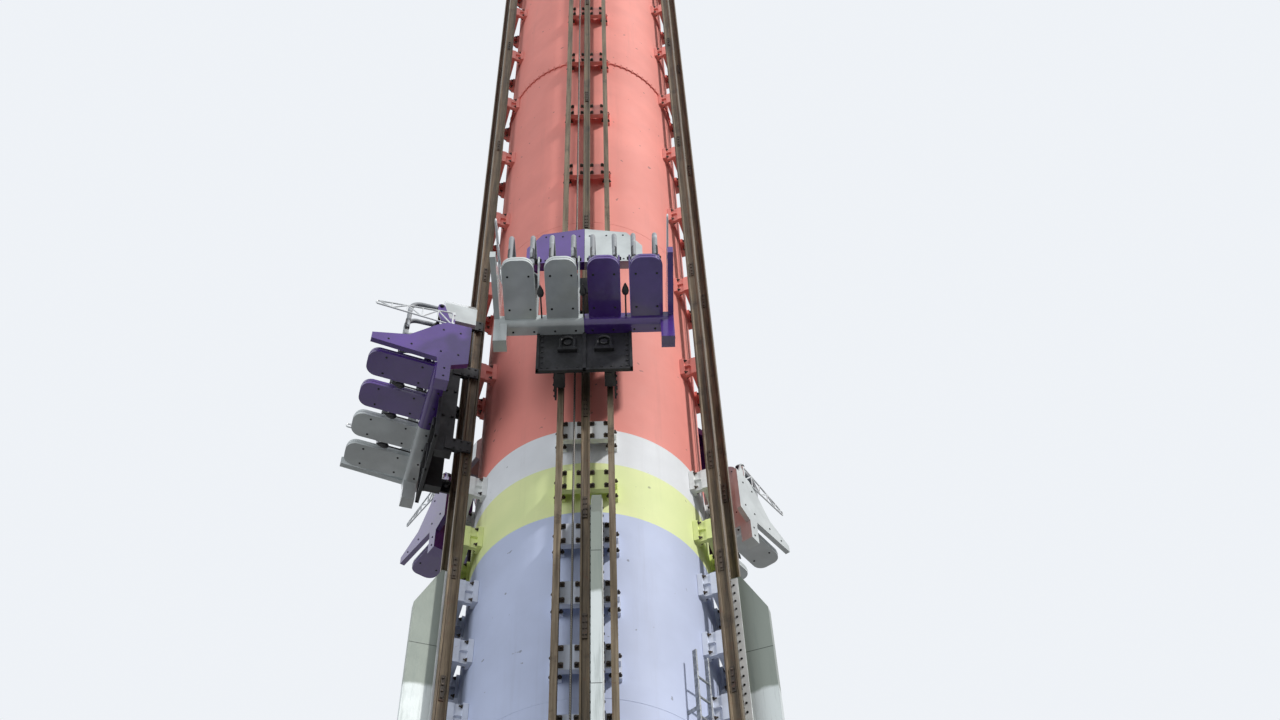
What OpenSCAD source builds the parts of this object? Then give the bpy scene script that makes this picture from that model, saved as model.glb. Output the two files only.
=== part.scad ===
// Drop tower ride as a 1:2 scale model. A round steel column carries five vertical tracks, and a
// four-seat car slides on each track. Lengths are in millimetres of the model, so half the real ones.
// The origin is on the underside of the base plate, on the column's axis. The front track faces -Y.

/* [Column] */
// Outer radius of the column
column_r = 850; // [700:10:1000]
// Wall of the column
column_wall = 12; // [8:1:20]
// Height of the column's top above the ground
column_top = 29000; // [24000:100:33000]
// Height of the first bolted joint between column sections
joint_first = 4785; // [4000:5:5200]
// Length of a column section between two bolted joints
section_length = 9980; // [8500:5:9990]
// Radial width of a joint ring
joint_ring_w = 14; // [10:1:30]
// Height of a joint ring
joint_ring_h = 24; // [16:1:40]

/* [Paint bands] */
// Height where the lavender paint ends and the yellow band starts
yellow_from = 7956; // [7000:1:8200]
// Height of the yellow band
yellow_h = 493; // [300:1:800]
// Height of the white band
white_h = 366; // [200:1:800]

/* [Base] */
// Radius of the base plate
plate_r = 1150; // [1120:5:1400]
// Thickness of the base plate
plate_t = 60; // [40:1:90]
// Radius of the circle of anchor bolt holes
bolt_circle_r = 1080; // [1040:1:1100]
// Radius of an anchor bolt hole
bolt_hole_r = 17; // [12:1:24]
// Number of anchor bolt holes
bolt_count = 20; // [15:5:30]
// Thickness of a gusset plate
gusset_t = 16; // [10:1:24]
// Height of a gusset plate
gusset_h = 150; // [100:5:170]

/* [Tracks] */
// Half the distance between the two guide rails of a track
rail_half_gauge = 175; // [150:1:200]
// Width of a guide rail
rail_w = 42; // [30:1:52]
// Radial depth of a guide rail
rail_d = 84; // [60:1:100]
// Distance from the column to the back of the guide rails
rail_standoff = 100; // [80:1:140]
// Width of the centre beam
beam_w = 60; // [40:1:70]
// Radial depth of the centre beam
beam_d = 46; // [30:1:60]
// Height where the rails start
rail_from = 240; // [230:5:400]
// Distance from the rails' top to the column's top
rail_top_gap = 100; // [50:10:300]
// Height of the lowest bracket
bracket_first = 439; // [420:1:600]
// Distance between brackets in the braking zone
bracket_pitch_low = 515; // [450:1:520]
// Number of brackets of a track in the braking zone
bracket_count_low = 17; // [12:1:17]
// Height of the lowest bracket above the braking zone
bracket_second = 10028; // [9800:1:10300]
// Distance between brackets above the braking zone
bracket_pitch_high = 1155; // [1000:1:1200]
// Height of a bracket
bracket_h = 190; // [120:1:220]
// Radial depth of a bracket's cross bar
crossbar_d = 40; // [25:1:46]
// Width of a bracket's arm
arm_w = 28; // [18:1:36]
// Width of the pad at the foot of an arm
pad_w = 76; // [60:1:90]
// Thickness of a pad
pad_t = 10; // [6:1:16]

/* [Brakes] */
// Height of the top of the brake fins
fin_top = 7884; // [7000:1:8600]
// Height of the bottom of the brake fins
fin_from = 1000; // [900:10:1500]
// Height over which a fin's top slopes away
fin_slope_h = 330; // [100:5:500]
// Width of a brake fin
fin_w = 64; // [40:1:70]
// Distance from the middle of the track to the middle of a fin
fin_offset = 76; // [62:1:84]
// Radial depth of a brake fin
fin_d = 245; // [180:1:250]

/* [Cars] */
// Width of a car across its four seats
car_w = 1290; // [1240:2:1340]
// Height of the underside of the raised cars
car_up_z = 9222; // [8700:1:11000]
// Height of the underside of the car at the station
car_down_z = 520; // [480:1:700]
// Running gap between the moving and the fixed pieces
run_gap = 10; // [6:1:16]
// Radial depth of the carriage's side beams
side_beam_d = 120; // [90:1:140]
// Width of the carriage's side beams
side_beam_w = 70; // [50:1:90]
// How far the carriage reaches below the car
carriage_drop = 255; // [150:5:258]
// Width of the apron at the foot of the carriage
apron_w = 680; // [600:5:760]
// Height of the carriage above the car's underside
carriage_h = 1440; // [1300:10:1460]
// Radius of a guide roller
roller_r = 30; // [20:1:36]
// Gap between a guide roller and its rail
roller_gap = 0.3; // [0.1:0.1:2]
// Thickness of the seat shell
shell_t = 60; // [40:1:80]
// Radial depth of the seat shell's lower beam
low_beam_d = 110; // [90:1:150]
// Height of the seat shell's lower beam
low_beam_h = 94; // [80:1:130]
// Height of the legs at the ends of the lower beam
leg_h = 190; // [150:1:220]
// Width of the legs at the ends of the lower beam
leg_w = 96; // [60:1:120]
// Thickness of the shell's end walls
end_wall_t = 40; // [20:1:50]
// Height of the shell's end walls
end_wall_h = 455; // [400:5:560]
// How far the end walls reach back past the seat backs
end_wall_back = 125; // [60:5:140]

/* [Seats] */
// Width of a seat pan
pan_w = 226; // [190:1:250]
// Radial length of a seat pan
pan_l = 560; // [450:5:620]
// Rise of a seat pan towards its front, in degrees
pan_tilt = 4.5; // [0:0.5:12]
// Radius of a seat pan's front corners
pan_corner_r = 80; // [40:1:100]
// Thickness of a seat pan
pan_t = 52; // [40:1:70]
// Height of a seat back above the lower beam
back_h = 666; // [600:1:700]
// Width of a seat back
back_w = 236; // [190:1:250]

/* [Hood] */
// Width of the hood at its lower edge
hood_w = 892; // [800:2:960]
// Width of the hood's top
hood_top_w = 654; // [560:2:760]
// Height of the hood's lower edge above the car's underside
hood_from = 1030; // [1020:5:1080]
// Height of the hood at its middle
hood_h = 478; // [430:2:520]
// Rise of the hood's top from its corners to its middle
hood_crown = 68; // [20:1:100]
// Height of the sloping shoulders of the hood
hood_shoulder_h = 198; // [100:2:260]
// Radial depth of the hood
hood_d = 252; // [180:2:256]
// Wall of the hood's sides
hood_wall = 40; // [20:1:60]
// Thickness of the hood's front
hood_front_t = 73; // [40:1:90]

/* [Harness] */
// Distance between the two arms of a harness
harness_w = 160; // [140:1:166]
// Thickness of a harness arm
harness_t = 34; // [20:1:44]
// Radius of the round bar that a harness turns on
pivot_r = 14; // [10:1:20]
// Height of the pivot above the car's underside
pivot_z = 1000; // [980:5:1020]
// Clearance round the harness bar in its lug
pivot_clearance = 0.3; // [0.1:0.1:0.6]
// Thickness of a lug that carries a harness bar
lug_t = 14; // [8:1:14]
// Radius of the boss where an arm meets its bar
boss_r = 34; // [26:1:38]

/* [Guards] */
// Radial length of a side guard
guard_l = 600; // [450:5:700]
// Height of a side guard
guard_h = 170; // [120:5:220]
// Height of a side guard's outer end
guard_tip_h = 46; // [30:2:100]
// Diameter of a side guard's tube
guard_d = 13; // [8:1:20]

/* [Head] */
// Radius of the head plate
head_plate_r = 940; // [900:5:960]
// Thickness of the head plate
head_plate_t = 50; // [30:1:80]
// Radius of the machine housing
housing_r = 610; // [500:5:640]
// Height of the machine housing's wall
housing_h = 640; // [400:10:900]
// Height of the machine housing's roof
housing_roof_h = 190; // [100:5:300]
// Radius of a sheave
sheave_r = 140; // [100:1:160]
// Width of a sheave
sheave_w = 34; // [20:1:40]
// Radius of a hoist cable
cable_r = 7; // [4:1:10]
// Distance from the middle of the track to the hoist cable
cable_offset = 78; // [60:1:100]

/* [Hidden] */
TRACKS = 5;
CAR_PIECES = ["carriage", "white_shell", "purple_shell", "harnesses", "guards"];
$fn = 96;

track_step = 360 / TRACKS;
// The car on the second track waits at the station, and the others hang high up
STATION_CAR = 2;

// A joint's level: as asked, or just above the bracket that it would meet
joint_clear = 10;
function joint_level(asked, first, pitch) =
    let (nearest = first + round((asked - first) / pitch) * pitch,
         apart = (bracket_h + joint_ring_h) / 2 + joint_clear)
    abs(asked - nearest) < apart ? nearest + apart : asked;

// Levels of the column
white_from = yellow_from + yellow_h;
coral_from = white_from + white_h;
joint_1 = joint_level(joint_first, bracket_first, bracket_pitch_low);
joint_2 = joint_level(joint_first + section_length, bracket_second, bracket_pitch_high);
joint_3 = joint_level(joint_first + 2 * section_length, bracket_second, bracket_pitch_high);

// Radial places of a track, from the column's axis
rail_back = column_r + rail_standoff;
rail_front = rail_back + rail_d;
crossbar_back = rail_back - crossbar_d;
rail_out = rail_half_gauge + rail_w / 2;
rail_h = column_top - rail_top_gap - rail_from;
bracket_count_high = floor((column_top - rail_top_gap - bracket_second) / bracket_pitch_high) + 1;
// A pad's foot sinks its flat face this far past the outermost point of the curved wall
pad_seat = column_r - sqrt(column_r * column_r - pow(rail_half_gauge + pad_w / 2, 2));
cable_y = rail_back + 46;
fin_back = rail_back + 28;

// Radial places of a car
cross_plate_t = 12;
side_beam_back = rail_front + 2 * roller_r + 12;
side_beam_front = side_beam_back + side_beam_d;
shell_back = max(side_beam_front, fin_back + fin_d + run_gap) + cross_plate_t;
shell_front = shell_back + low_beam_d;
side_beam_in = rail_half_gauge - 35;
side_beam_out = side_beam_in + side_beam_w;
seat_pitch = (car_w - 2 * end_wall_t) / 4;
low_beam_top = leg_h + low_beam_h;
back_top = low_beam_top + back_h;
pan_back = shell_back + shell_t;
half_gap = 1;
cross_plate_h = 200;
cross_plate_levels = [-carriage_drop, leg_h, pivot_z - 80 - cross_plate_h, carriage_h - cross_plate_h];
tie_t = 20;
gusset_inset = 20;
gusset_top_w = 30;
gusset_lip_h = 40;

// The rollers of a carriage, the bearers that hold them and the cheeks that keep to the rails' sides
roller_w = 32;
roller_inset = 90;
roller_levels = [-carriage_drop + roller_inset, carriage_h / 2, carriage_h - roller_inset];
bearer_t = 12;
bearer_h = 24;
bearer_root = 18;
bearer_from = rail_front + roller_gap + roller_r - bearer_h / 2;
cheek_t = 14;
cheek_h = 120;
cheek_from = rail_back + 20;

// The seat shell
beam_corner_r = low_beam_h * 0.45;
wall_corner = 60;
arm_reach = 490;
arm_root = 220;
arm_low = low_beam_top + 26;
arm_h = 70;
end_wall_top = leg_h + end_wall_h;
pan_root = 30;
pan_step = 4;
panel_seam = 0.3;
leg_back_d = 100;
apron_over = 40;

// The hood stands in front of the carriage and reaches back over its sides
hood_front = shell_back + hood_front_t;
hood_back = hood_front - hood_d;
hood_top = hood_from + hood_h;
hood_corner = hood_top - hood_crown;
hood_shoulder = hood_corner - hood_shoulder_h;
hood_open_w = 2 * side_beam_out + 60;

// A harness hangs from a bar in front of the hood and ends over the lap
pivot_y = hood_front + 8 + boss_r;
lug_r = 28;
lug_h = 250;
harness_reach = 250;
harness_low = 430;
harness_over = 30;
lap_bar_h = 70;

// The head's sheaves
sheave_axle_h = 60;
cable_top = column_top + head_plate_t + sheave_r + sheave_axle_h;
axle_r = 24;
hub_out = 8;
cheek_gap = 14;
cheek_plate_t = 12;
cheek_plate_w = 120;
cheek_over = 50;

coral = [0.93, 0.46, 0.40];
lavender = [0.66, 0.68, 0.85];
yellow = [0.86, 0.93, 0.45];
white = [0.93, 0.94, 0.96];
rust_brown = [0.36, 0.29, 0.22];
fin_grey = [0.62, 0.67, 0.66];
shell_white = [0.80, 0.84, 0.84];
purple = [0.28, 0.14, 0.47];
black = [0.06, 0.06, 0.07];
steel = [0.55, 0.56, 0.58];

module at_track(number) rotate([0, 0, (number - 1) * track_step]) children();

// A box that runs outwards from the radius `from`, centred on the track's middle plus `side`
module radial_box(side, from, width, depth, z, height)
    translate([side - width / 2, -from - depth, z]) cube([width, depth, height]);

module ring(outer, inner, height)
    difference() {
        cylinder(r = outer, h = height);
        translate([0, 0, -1]) cylinder(r = inner, h = height + 2);
    }

module base_plate() color(steel)
    difference() {
        cylinder(r = plate_r, h = plate_t);
        for (hole = [0 : bolt_count - 1])
            rotate([0, 0, (hole + 0.5) * 360 / bolt_count])
                translate([0, -bolt_circle_r, -1]) cylinder(r = bolt_hole_r, h = plate_t + 2);
    }

// One gusset: a plate with a sloping outer edge
module gusset() {
    reach = plate_r - column_r - gusset_inset;
    rotate([90, 0, 90]) translate([0, 0, -gusset_t / 2])
        linear_extrude(gusset_t)
            polygon([[-column_r - reach, 0], [-column_r, 0], [-column_r, gusset_h],
                     [-column_r - gusset_top_w, gusset_h], [-column_r - reach, gusset_lip_h]]);
}

module base_gussets() color(lavender)
    for (plate = [0 : bolt_count - 1])
        rotate([0, 0, plate * 360 / bolt_count]) translate([0, 0, plate_t]) gusset();

module column_band(from, to, paint) color(paint)
    translate([0, 0, from]) ring(column_r, column_r - column_wall, to - from);

module column_lavender() column_band(plate_t, yellow_from, lavender);
module column_yellow() column_band(yellow_from, white_from, yellow);
module column_white() column_band(white_from, coral_from, white);
module column_coral() column_band(coral_from, joint_2, coral);
module column_upper() column_band(joint_2, column_top, coral);

module joint_rings() color(coral)
    for (z = [joint_1, joint_2, joint_3])
        translate([0, 0, z - joint_ring_h / 2]) ring(column_r + joint_ring_w, column_r, joint_ring_h);

module guide_rails() color(rust_brown)
    for (track = [1 : TRACKS], side = [-1, 1])
        at_track(track) radial_box(side * rail_half_gauge, rail_back, rail_w, rail_d, rail_from, rail_h);

module centre_beams() color(rust_brown)
    for (track = [1 : TRACKS])
        at_track(track) radial_box(0, rail_back, beam_w, beam_d, rail_from, rail_h);

// One bracket: a cross bar behind the rails, on two arms whose pads lie on the column
module bracket(z) {
    foot = column_r - pad_seat + 2;
    arm = rail_half_gauge;
    outline = [
        [-rail_out, rail_back], [-rail_out, crossbar_back], [-arm - arm_w / 2, crossbar_back],
        [-arm - arm_w / 2, column_r + pad_t], [-arm - pad_w / 2, column_r + pad_t],
        [-arm - pad_w / 2, foot], [-arm + pad_w / 2, foot], [-arm + pad_w / 2, column_r + pad_t],
        [-arm + arm_w / 2, column_r + pad_t], [-arm + arm_w / 2, crossbar_back]];
    mirrored = [for (index = [len(outline) - 1 : -1 : 0]) [-outline[index][0], outline[index][1]]];
    translate([0, 0, z - bracket_h / 2])
        difference() {
            linear_extrude(bracket_h)
                polygon([for (point = concat(outline, mirrored)) [point[0], -point[1]]]);
            translate([0, 0, -1]) cylinder(r = column_r, h = bracket_h + 2);
        }
}

module brackets_low() color(white)
    for (track = [1 : TRACKS], step = [0 : bracket_count_low - 1])
        at_track(track) bracket(bracket_first + step * bracket_pitch_low);

module brackets_high() color(coral)
    for (track = [1 : TRACKS], step = [0 : bracket_count_high - 1])
        at_track(track) bracket(bracket_second + step * bracket_pitch_high);

// One brake fin: a box with a sloping top, on a mounting strip that lies on the centre beam's side
module brake_fin()
    translate([fin_offset - fin_w / 2, 0, 0]) rotate([90, 0, 90])
        linear_extrude(fin_w)
            polygon([[-fin_back, fin_from], [-fin_back, fin_top],
                     [-fin_back - fin_d * 0.35, fin_top], [-fin_back - fin_d, fin_top - fin_slope_h],
                     [-fin_back - fin_d, fin_from]]);

module brake_fins() color(fin_grey)
    for (track = [1 : TRACKS]) at_track(track) {
        brake_fin();
        radial_box((beam_w / 2 + fin_offset + fin_w / 2) / 2, rail_back, fin_offset + fin_w / 2 - beam_w / 2,
                   fin_back - rail_back, fin_from, fin_top - fin_from);
    }

module hoist_cables() color(steel)
    for (track = [1 : TRACKS])
        at_track(track) translate([-cable_offset, -cable_y, plate_t + gusset_h])
            cylinder(r = cable_r, h = cable_top - plate_t - gusset_h, $fn = 24);

module cable_anchors() color(steel)
    for (track = [1 : TRACKS])
        at_track(track) radial_box(-cable_offset, cable_y - 40, 70, 80, plate_t, gusset_h);

module head_plate() color(steel)
    translate([0, 0, column_top]) cylinder(r = head_plate_r, h = head_plate_t);

module head_housing() color(lavender)
    translate([0, 0, column_top + head_plate_t]) {
        cylinder(r = housing_r, h = housing_h);
        translate([0, 0, housing_h])
            rotate_extrude() polygon([[0, 0], [housing_r + 20, 0], [housing_r + 20, 24], [0, housing_roof_h]]);
    }

module sheave_place() translate([-cable_offset, -cable_y - cable_r + sheave_r, cable_top]) children();

module sheave_cheeks() color(rust_brown)
    for (track = [1 : TRACKS], side = [-1, 1]) at_track(track)
        translate([-cable_offset + side * (sheave_w / 2 + cheek_gap), -cable_y + sheave_r, column_top + head_plate_t])
            translate([-cheek_plate_t / 2, -cheek_plate_w / 2, 0])
                cube([cheek_plate_t, cheek_plate_w, cable_top - column_top - head_plate_t + cheek_over]);

module sheaves() color(steel)
    for (track = [1 : TRACKS]) at_track(track) sheave_place() rotate([0, 90, 0]) {
        translate([0, 0, -sheave_w / 2]) cylinder(r = sheave_r - 2 * cable_r, h = sheave_w);
        translate([0, 0, -sheave_w / 2 - hub_out]) cylinder(r = axle_r, h = sheave_w + 2 * hub_out);
    }

module at_car(car)
    at_track(car) translate([0, 0, car == STATION_CAR ? car_down_z : car_up_z]) children();

// One guide roller, in front of a rail, on a pin that ends in the side beam's cheek
module roller(side, z)
    translate([side * rail_half_gauge, -(rail_front + roller_gap + roller_r), z]) rotate([0, 90, 0])
        translate([0, 0, -roller_w / 2]) cylinder(r = roller_r, h = roller_w);

// The carriage: two side beams with roller cheeks, tied by cross plates and an apron that carry the seats
module carriage(car) at_car(car) color(black) {
    for (side = [-1, 1]) {
        radial_box(side * (side_beam_in + side_beam_w / 2), side_beam_back, side_beam_w, side_beam_d,
                   -carriage_drop, carriage_drop + carriage_h);
        for (z = roller_levels) {
            roller(side, z);
            radial_box(side * (rail_out + run_gap + cheek_t / 2), cheek_from, cheek_t,
                       side_beam_back - cheek_from + side_beam_d / 2, z - cheek_h / 2, cheek_h);
            for (face = [-1, 1])
                radial_box(side * rail_half_gauge + face * (roller_w + bearer_t) / 2, bearer_from, bearer_t,
                           side_beam_back - bearer_from + bearer_root, z - bearer_h / 2, bearer_h);
        }
        for (z = cross_plate_levels)
            radial_box(side * (side_beam_out - tie_t / 2), side_beam_front, tie_t,
                       shell_back - side_beam_front, z, cross_plate_h);
    }
    for (z = cross_plate_levels)
        radial_box(0, shell_back - cross_plate_t, 2 * side_beam_out, cross_plate_t, z, cross_plate_h);
    radial_box(0, shell_back - cross_plate_t, apron_w, cross_plate_t, -carriage_drop,
               carriage_drop + leg_h + apron_over);
}

// One seat: the pan with a round front end, rooted in the lower beam, and on a seam the back with a
// rounded head
module seat() {
    back_r = back_w / 2;
    translate([0, -pan_back + pan_root, low_beam_top - pan_t - pan_step]) rotate([-pan_tilt, 0, 0])
        linear_extrude(pan_t) {
            translate([-pan_w / 2, -pan_l + pan_corner_r]) square([pan_w, pan_l - pan_corner_r]);
            translate([-pan_w / 2 + pan_corner_r, -pan_l]) square([pan_w - 2 * pan_corner_r, pan_corner_r + 1]);
            for (side = [-1, 1])
                translate([side * (pan_w / 2 - pan_corner_r), -pan_l + pan_corner_r]) circle(r = pan_corner_r);
        }
    translate([0, -shell_back, 0]) rotate([90, 0, 0])
        linear_extrude(shell_t) {
            translate([-back_r, low_beam_top + panel_seam]) square([back_w, back_h - panel_seam - back_r]);
            translate([0, back_top - back_r]) circle(r = back_r);
        }
    for (side = [-1, 1]) pivot_lug(side);
}

// A lug at the side of a seat back, which reaches forward to the bar that a harness turns on
module pivot_lug(side)
    translate([side * (back_w - lug_t) / 2 - lug_t / 2, 0, 0]) rotate([90, 0, 90])
        linear_extrude(lug_t)
            difference() {
                union() {
                    polygon([[-pan_back + pan_root, back_top - lug_h], [-pan_back, back_top - lug_h],
                             [-pivot_y - lug_r, back_top - lug_r], [-pivot_y - lug_r, pivot_z],
                             [-pivot_y + lug_r, pivot_z], [-pan_back + pan_root, back_top - lug_h / 2]]);
                    translate([-pivot_y, pivot_z]) circle(r = lug_r);
                }
                translate([-pivot_y, pivot_z]) circle(r = pivot_r + pivot_clearance);
            }

// Half a car's seat shell, for two seats on the side given as -1 or 1
module shell_half(side) {
    inner = side * half_gap;
    outer = side * car_w / 2;
    wall_inner = outer - side * end_wall_t;
    beam_end = wall_inner - side * panel_seam;
    for (place = [0.5, 1.5]) translate([side * place * seat_pitch, 0, 0]) seat();
    translate([min(inner, beam_end), 0, 0]) rotate([90, 0, 90])
        linear_extrude(abs(beam_end - inner)) {
            translate([-shell_front + beam_corner_r, leg_h]) square([low_beam_d - beam_corner_r, low_beam_h]);
            translate([-shell_front, leg_h + beam_corner_r]) square([low_beam_d, low_beam_h - beam_corner_r]);
            translate([-shell_front + beam_corner_r, leg_h + beam_corner_r]) circle(r = beam_corner_r);
        }
    translate([min(beam_end, outer - side * leg_w), -shell_back - leg_back_d, 0])
        cube([leg_w - end_wall_t - panel_seam, leg_back_d, leg_h + beam_corner_r]);
    translate([min(wall_inner, outer), 0, 0]) rotate([90, 0, 90])
        linear_extrude(end_wall_t)
            polygon([[-shell_back + end_wall_back, leg_h + wall_corner], [-shell_back, leg_h],
                     [-shell_back, 0], [-shell_back - leg_back_d, 0], [-shell_back - leg_back_d, leg_h],
                     [-shell_front, leg_h + wall_corner],
                     [-shell_front - arm_reach, arm_low], [-shell_front - arm_reach, arm_low + arm_h],
                     [-shell_front - arm_root, arm_low + 2 * arm_h], [-pan_back - pan_corner_r, end_wall_top],
                     [-pan_back, end_wall_top + wall_corner],
                     [-shell_back + end_wall_back, end_wall_top + wall_corner]]);
}

// Half the outline of the hood's front, in the plane of the front
module hood_outline()
    polygon([[half_gap, hood_from], [hood_w / 2, hood_from], [hood_w / 2, hood_shoulder],
             [hood_top_w / 2, hood_corner], [half_gap, hood_top]]);

// Half a car's hood: the front, and a side that reaches back beside the carriage
module hood_half(side)
    mirror([side > 0 ? 0 : 1, 0, 0]) {
        translate([0, -shell_back, 0]) rotate([90, 0, 0]) linear_extrude(hood_front_t) hood_outline();
        translate([0, -hood_back, 0]) rotate([90, 0, 0]) linear_extrude(shell_back - hood_back)
            difference() {
                hood_outline();
                polygon([[-1, hood_from - 1], [hood_w / 2 - hood_wall, hood_from - 1],
                         [hood_w / 2 - hood_wall, hood_shoulder], [hood_top_w / 2 - hood_wall, hood_corner - hood_wall],
                         [hood_open_w / 2, hood_corner - hood_wall], [hood_open_w / 2, hood_top + 1],
                         [-1, hood_top + 1]]);
            }
    }

module white_shell(car) at_car(car) color(shell_white) {
    shell_half(-1);
    hood_half(1);
}

module purple_shell(car) at_car(car) color(purple) {
    shell_half(1);
    hood_half(-1);
}

// One over-the-shoulder harness: two bent arms, a bar on the pivot and a lap bar
module harness() {
    lap = -harness_reach + harness_t;
    path = [[0, harness_over], [-harness_reach, harness_over], [-harness_reach, -harness_low],
            [lap, -harness_low], [lap, -harness_t], [0, -harness_t]];
    for (side = [-1, 1])
        translate([side * harness_w / 2 - harness_t / 2, -pivot_y, pivot_z]) rotate([90, 0, 90])
            linear_extrude(harness_t) {
                polygon(path);
                circle(r = boss_r);
            }
    translate([-back_w / 2, -pivot_y, pivot_z]) rotate([0, 90, 0]) cylinder(r = pivot_r, h = back_w);
    radial_box(0, pivot_y + harness_reach - harness_t, harness_w, harness_t, pivot_z - harness_low, lap_bar_h);
}

module harnesses(car) at_car(car) color(steel)
    for (place = [-1.5 : 1 : 1.5]) translate([place * seat_pitch, 0, 0]) harness();

// One side guard: a tube frame that narrows outwards, with zigzag bracing, in the plane of the end wall
module guard() {
    rows = 5;
    tube = guard_d;
    drop = (guard_h - guard_tip_h) / 2;
    rotate([90, 0, 90]) translate([0, 0, -tube / 2]) linear_extrude(tube) {
        difference() {
            polygon([[0, 0], [-guard_l, drop], [-guard_l, guard_h - drop], [0, guard_h]]);
            polygon([[-tube, tube], [-guard_l + tube, drop + tube], [-guard_l + tube, guard_h - drop - tube],
                     [-tube, guard_h - tube]]);
        }
        for (row = [0 : rows - 1])
            polygon(let (near = row / rows, far = (row + 1) / rows, low = row % 2 == 0,
                         from = low ? near * drop + tube / 2 : guard_h - near * drop - tube / 2,
                         to = low ? guard_h - far * drop - tube / 2 : far * drop + tube / 2)
                [[-near * guard_l, from], [-near * guard_l - tube, from],
                 [-far * guard_l, to], [-far * guard_l + tube, to]]);
    }
}

module guards(car) at_car(car) color(white)
    for (side = [-1, 1])
        translate([side * (car_w / 2 - end_wall_t / 2), -shell_back - 20, leg_h + end_wall_h + 60]) guard();

base_plate();
base_gussets();
column_lavender();
column_yellow();
column_white();
column_coral();
column_upper();
joint_rings();
guide_rails();
centre_beams();
brackets_low();
brackets_high();
brake_fins();
hoist_cables();
cable_anchors();
head_plate();
head_housing();
sheave_cheeks();
sheaves();
for (car = [1 : TRACKS]) {
    carriage(car);
    white_shell(car);
    purple_shell(car);
    harnesses(car);
    guards(car);
}
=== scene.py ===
import math

import bpy
from mathutils import Matrix, Vector


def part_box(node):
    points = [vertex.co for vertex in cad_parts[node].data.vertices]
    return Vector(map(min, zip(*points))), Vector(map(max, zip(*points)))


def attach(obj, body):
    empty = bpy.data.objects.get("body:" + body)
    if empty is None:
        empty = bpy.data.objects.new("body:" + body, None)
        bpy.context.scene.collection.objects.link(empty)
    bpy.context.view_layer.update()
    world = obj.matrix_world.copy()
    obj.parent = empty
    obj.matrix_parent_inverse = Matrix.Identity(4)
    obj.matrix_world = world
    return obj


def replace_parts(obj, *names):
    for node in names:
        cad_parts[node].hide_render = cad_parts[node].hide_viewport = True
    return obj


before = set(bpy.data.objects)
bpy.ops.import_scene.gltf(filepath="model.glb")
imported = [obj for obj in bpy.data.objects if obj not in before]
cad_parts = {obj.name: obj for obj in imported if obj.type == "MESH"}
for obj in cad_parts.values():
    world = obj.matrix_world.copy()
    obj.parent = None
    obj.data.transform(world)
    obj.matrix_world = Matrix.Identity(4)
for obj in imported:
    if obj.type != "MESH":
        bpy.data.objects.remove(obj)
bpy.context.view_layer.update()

# Sizes of the tower's solids in metres, for the first track where they belong to a track

TRACKS = 5
COLUMN_RADIUS = 0.85
BASE_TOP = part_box("base_plate")[1][2]
YELLOW_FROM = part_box("column_yellow")[0][2]
WHITE_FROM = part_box("column_white")[0][2]
CORAL_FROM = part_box("column_coral")[0][2]
JOINT_LEVELS = (4.785, 14.765, 24.745)
JOINT_BOLTS, GUSSETS = 84, 20
GUSSET_HALF, ANCHOR_REACH = 0.008, 1.08
HEAD_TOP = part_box("head_plate")[1][2]
RAIL_LOW, RAIL_HIGH = (corner[2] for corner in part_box("guide_rails"))
RAIL_BACK, RAIL_FRONT = 0.95, 1.034
RAIL_OFFSET, RAIL_HALF = 0.175, 0.021
FIN_LOW, FIN_HIGH = (corner[2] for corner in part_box("brake_fins"))
BRACKET_HEIGHT = 0.19
BRACKETS_A_RUN = 17
LOW_FIRST, LOW_PITCH = 0.439, 0.515
HIGH_FIRST, HIGH_PITCH = 10.028, 1.155
ROPE_X, ROPE_Y, ROPE_RADIUS = -0.078, -0.996, 0.007
SHEAVE_RADIUS = 0.14

# Sizes of a car's solids in metres, from the underside of its seats on the first track

CAR_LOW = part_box("car_1_white_shell")[0][2]
CAR_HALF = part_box("car_1_purple_shell")[1][0]
SEAT_PITCH = 0.3025
SHELL_BACK = 1.245
BEAM_LOW = 0.19
PAN_ROOT = Vector((0, -1.275, 0.228))
PAN_THICK, PAN_LONG, PAN_WIDE, PAN_TILT = 0.052, 0.56, 0.226, 4.5
BACK_FRONT, BACK_HALF = 1.3055, 0.118
HOOD_FRONT = 1.318
PIVOT = Vector((0, -1.360, 1.000))
ROLLER_LEVELS = (-0.165, 0.72, 1.35)
ROLLER_AXLE = -(RAIL_FRONT + 0.0303)

OUTWARD, INWARD, DOWNWARD = (0, -1, 0), (0, 1, 0), (0, 0, -1)


# Materials

def srgb(red, green, blue):
    """A colour written as the photograph's 0 to 255 values."""
    def linear(value):
        value /= 255
        return value / 12.92 if value <= 0.04045 else ((value + 0.055) / 1.055) ** 2.4
    return (linear(red), linear(green), linear(blue), 1)


def shade(colour, factor, lift=0):
    """A colour made darker or lighter, and kept off pure white."""
    return srgb(*[min(part * factor + lift, 250) for part in colour])


RUST = srgb(104, 62, 38)
RAIL_RUST = srgb(96, 56, 34)
GREASE = srgb(38, 32, 28)
RAIN_STREAK = srgb(112, 104, 100)
DIRT_SPOT = srgb(70, 66, 70)
GRIME = srgb(120, 100, 86)
FADED = srgb(150, 146, 142)
SCUFF = srgb(120, 132, 128)
SCRATCH = srgb(150, 148, 150)
DUST = srgb(112, 106, 98)
RUBBED = srgb(104, 84, 66)
STAIN = srgb(110, 92, 74)
ROPE_GREASE = srgb(50, 40, 30)


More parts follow.
